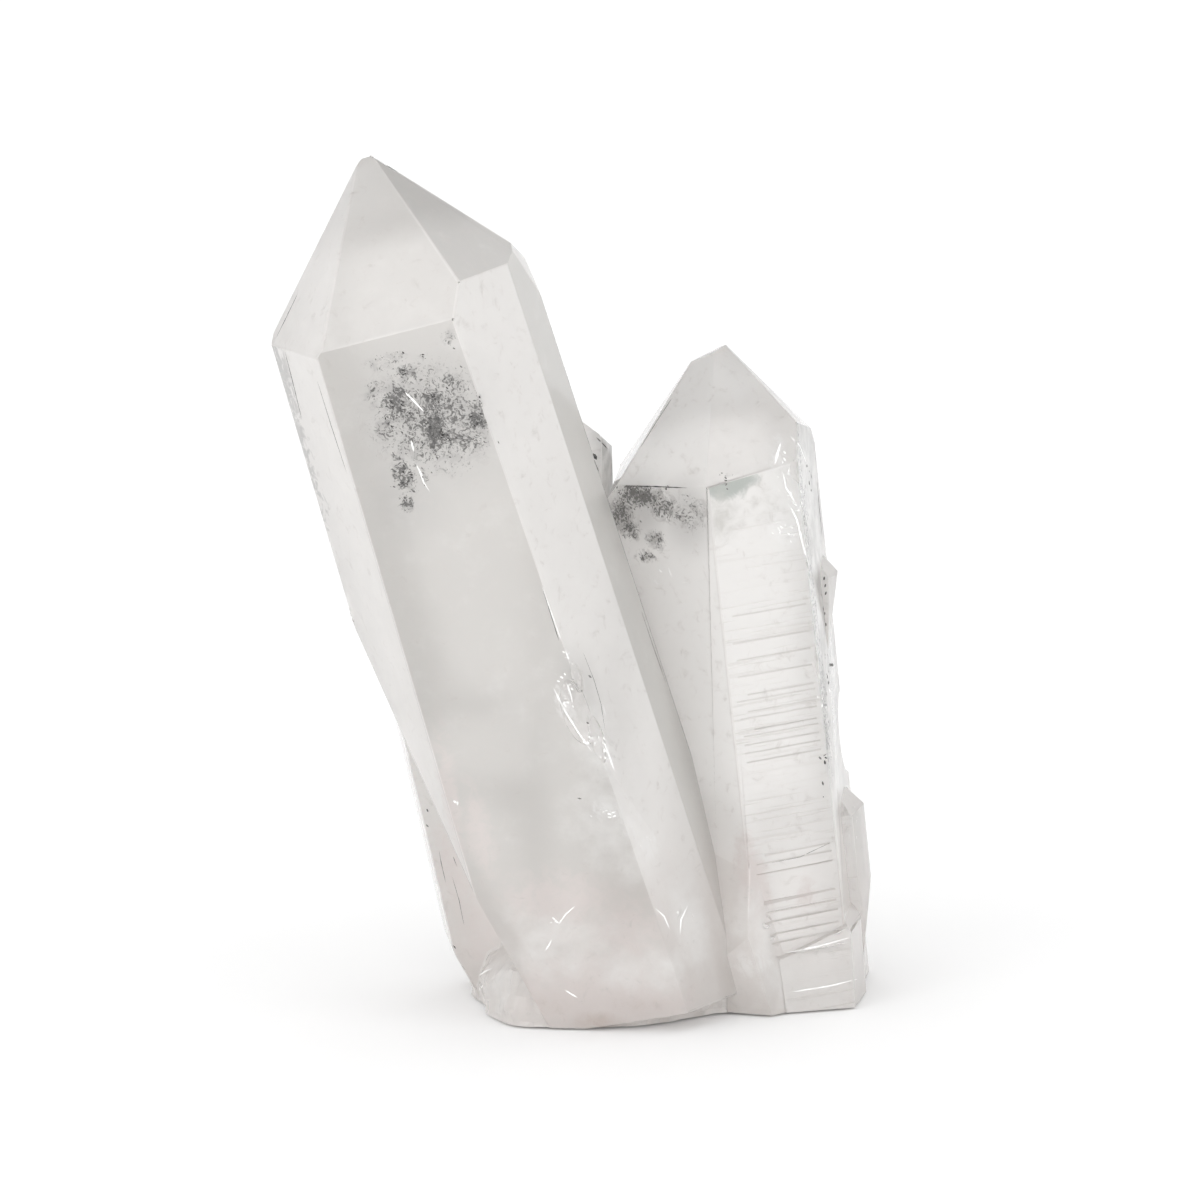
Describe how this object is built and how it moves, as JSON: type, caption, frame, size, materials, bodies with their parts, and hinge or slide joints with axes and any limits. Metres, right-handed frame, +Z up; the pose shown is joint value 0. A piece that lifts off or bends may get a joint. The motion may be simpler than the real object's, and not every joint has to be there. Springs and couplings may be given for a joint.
{
  "type": "clear quartz cluster",
  "caption": "Clear six-sided quartz points grown together on one broken foot, with small crystals and chipped edges, cut flat to stand on a surface.",
  "frame": {"origin": "middle of the cluster's outline seen from above, on the flat cut face under its foot", "axes": "+Z up along the points, -Y towards the viewer who sees the large point on the left, +X to that viewer's right"},
  "size_m": [0.0684, 0.0506, 0.099],
  "materials": {
    "quartz": "polished, clear with grey veils and a brownish foot"
  },
  "bodies": {
    "root": {"quartz_cluster": "quartz"}
  },
  "joints": []
}
